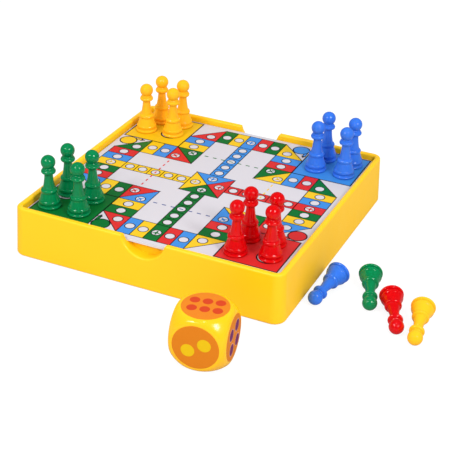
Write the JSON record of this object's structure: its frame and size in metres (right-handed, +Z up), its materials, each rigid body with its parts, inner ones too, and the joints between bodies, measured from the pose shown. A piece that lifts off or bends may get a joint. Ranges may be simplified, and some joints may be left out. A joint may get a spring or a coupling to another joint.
{
  "type": "ludo board",
  "caption": "Square ludo board lying in a raised tray with finger notches, with turned pawns in its four home corners, loose pawns beside it and a rounded die.",
  "frame": {"origin": "middle of the tray's flat underside, on the table", "axes": "+Z up, +X to the right along the front wall, +Y from the front wall to the back wall"},
  "size_m": [0.2864, 0.2702, 0.0705],
  "materials": {
    "tray_yellow": "moulded, satin gloss",
    "board_white": "smooth satin",
    "printed_paper": "four-colour print, smooth",
    "die_yellow": "moulded gloss",
    "pawn_green": "moulded gloss",
    "pawn_red": "moulded gloss",
    "pawn_blue": "moulded gloss",
    "pawn_yellow": "moulded gloss"
  },
  "bodies": {
    "tray": {"tray": "tray_yellow"},
    "board": {"board_panel": "board_white", "printed_sheet": "printed_paper"},
    "die": {"die": "die_yellow"},
    "green_pawn_1": {"green_pawn_1": "pawn_green"},
    "green_pawn_2": {"green_pawn_2": "pawn_green"},
    "green_pawn_3": {"green_pawn_3": "pawn_green"},
    "green_pawn_4": {"green_pawn_4": "pawn_green"},
    "red_pawn_1": {"red_pawn_1": "pawn_red"},
    "red_pawn_2": {"red_pawn_2": "pawn_red"},
    "red_pawn_3": {"red_pawn_3": "pawn_red"},
    "red_pawn_4": {"red_pawn_4": "pawn_red"},
    "blue_pawn_1": {"blue_pawn_1": "pawn_blue"},
    "blue_pawn_2": {"blue_pawn_2": "pawn_blue"},
    "blue_pawn_3": {"blue_pawn_3": "pawn_blue"},
    "blue_pawn_4": {"blue_pawn_4": "pawn_blue"},
    "yellow_pawn_1": {"yellow_pawn_1": "pawn_yellow"},
    "yellow_pawn_2": {"yellow_pawn_2": "pawn_yellow"},
    "yellow_pawn_3": {"yellow_pawn_3": "pawn_yellow"},
    "yellow_pawn_4": {"yellow_pawn_4": "pawn_yellow"},
    "loose_green_pawn": {"loose_green_pawn": "pawn_green"},
    "loose_red_pawn": {"loose_red_pawn": "pawn_red"},
    "loose_blue_pawn": {"loose_blue_pawn": "pawn_blue"},
    "loose_yellow_pawn": {"loose_yellow_pawn": "pawn_yellow"}
  },
  "joints": [
    {"name": "board_lift", "type": "slide", "parent": "tray", "child": "board", "axis": [0, 0, 1], "range_m": [0, 0.05]},
    {"name": "die_lift", "type": "slide", "parent": "tray", "child": "die", "axis": [0, 0, 1], "range_m": [0, 0.08]},
    {"name": "green_pawn_1_lift", "type": "slide", "parent": "board", "child": "green_pawn_1", "axis": [0, 0, 1], "range_m": [0, 0.06]},
    {"name": "green_pawn_2_lift", "type": "slide", "parent": "board", "child": "green_pawn_2", "axis": [0, 0, 1], "range_m": [0, 0.06]},
    {"name": "green_pawn_3_lift", "type": "slide", "parent": "board", "child": "green_pawn_3", "axis": [0, 0, 1], "range_m": [0, 0.06]},
    {"name": "green_pawn_4_lift", "type": "slide", "parent": "board", "child": "green_pawn_4", "axis": [0, 0, 1], "range_m": [0, 0.06]},
    {"name": "red_pawn_1_lift", "type": "slide", "parent": "board", "child": "red_pawn_1", "axis": [0, 0, 1], "range_m": [0, 0.06]},
    {"name": "red_pawn_2_lift", "type": "slide", "parent": "board", "child": "red_pawn_2", "axis": [0, 0, 1], "range_m": [0, 0.06]},
    {"name": "red_pawn_3_lift", "type": "slide", "parent": "board", "child": "red_pawn_3", "axis": [0, 0, 1], "range_m": [0, 0.06]},
    {"name": "red_pawn_4_lift", "type": "slide", "parent": "board", "child": "red_pawn_4", "axis": [0, 0, 1], "range_m": [0, 0.06]},
    {"name": "blue_pawn_1_lift", "type": "slide", "parent": "board", "child": "blue_pawn_1", "axis": [0, 0, 1], "range_m": [0, 0.06]},
    {"name": "blue_pawn_2_lift", "type": "slide", "parent": "board", "child": "blue_pawn_2", "axis": [0, 0, 1], "range_m": [0, 0.06]},
    {"name": "blue_pawn_3_lift", "type": "slide", "parent": "board", "child": "blue_pawn_3", "axis": [0, 0, 1], "range_m": [0, 0.06]},
    {"name": "blue_pawn_4_lift", "type": "slide", "parent": "board", "child": "blue_pawn_4", "axis": [0, 0, 1], "range_m": [0, 0.06]},
    {"name": "yellow_pawn_1_lift", "type": "slide", "parent": "board", "child": "yellow_pawn_1", "axis": [0, 0, 1], "range_m": [0, 0.06]},
    {"name": "yellow_pawn_2_lift", "type": "slide", "parent": "board", "child": "yellow_pawn_2", "axis": [0, 0, 1], "range_m": [0, 0.06]},
    {"name": "yellow_pawn_3_lift", "type": "slide", "parent": "board", "child": "yellow_pawn_3", "axis": [0, 0, 1], "range_m": [0, 0.06]},
    {"name": "yellow_pawn_4_lift", "type": "slide", "parent": "board", "child": "yellow_pawn_4", "axis": [0, 0, 1], "range_m": [0, 0.06]},
    {"name": "loose_green_pawn_lift", "type": "slide", "parent": "tray", "child": "loose_green_pawn", "axis": [0, 0, 1], "range_m": [0, 0.08]},
    {"name": "loose_red_pawn_lift", "type": "slide", "parent": "tray", "child": "loose_red_pawn", "axis": [0, 0, 1], "range_m": [0, 0.08]},
    {"name": "loose_blue_pawn_lift", "type": "slide", "parent": "tray", "child": "loose_blue_pawn", "axis": [0, 0, 1], "range_m": [0, 0.08]},
    {"name": "loose_yellow_pawn_lift", "type": "slide", "parent": "tray", "child": "loose_yellow_pawn", "axis": [0, 0, 1], "range_m": [0, 0.08]}
  ]
}
